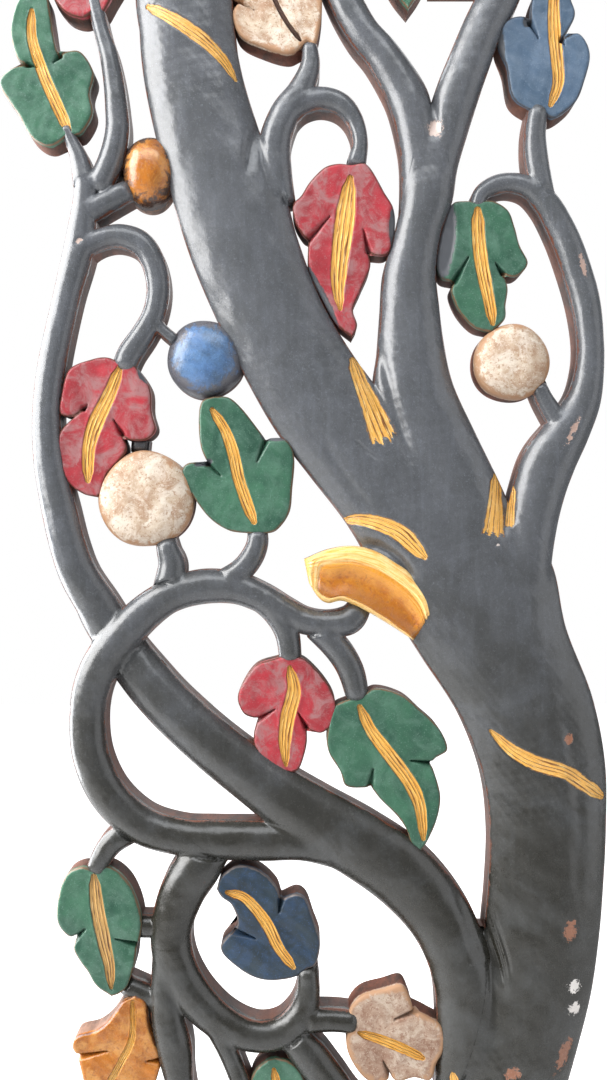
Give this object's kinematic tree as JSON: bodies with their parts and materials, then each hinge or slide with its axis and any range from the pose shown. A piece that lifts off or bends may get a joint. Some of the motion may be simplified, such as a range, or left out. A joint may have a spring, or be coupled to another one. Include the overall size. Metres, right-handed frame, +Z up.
{
  "type": "wooden wall panel",
  "caption": "Openwork wall panel carved from one plank: a winding tree with leaves, round fruits and a bracket fungus, painted, flat at the back.",
  "frame": {"origin": "on the flat back of the trunk, in the plane that lies against the wall", "axes": "+Z up along the panel's length, +Y out of the flat back towards the wall, the carved front faces -Y, +X to the viewer's right"},
  "size_m": [0.3031, 0.026, 0.779],
  "materials": {
    "painted_wood": "satin charcoal paint over red-brown stained wood"
  },
  "bodies": {
    "root": {"carved_panel": "painted_wood"}
  },
  "joints": []
}
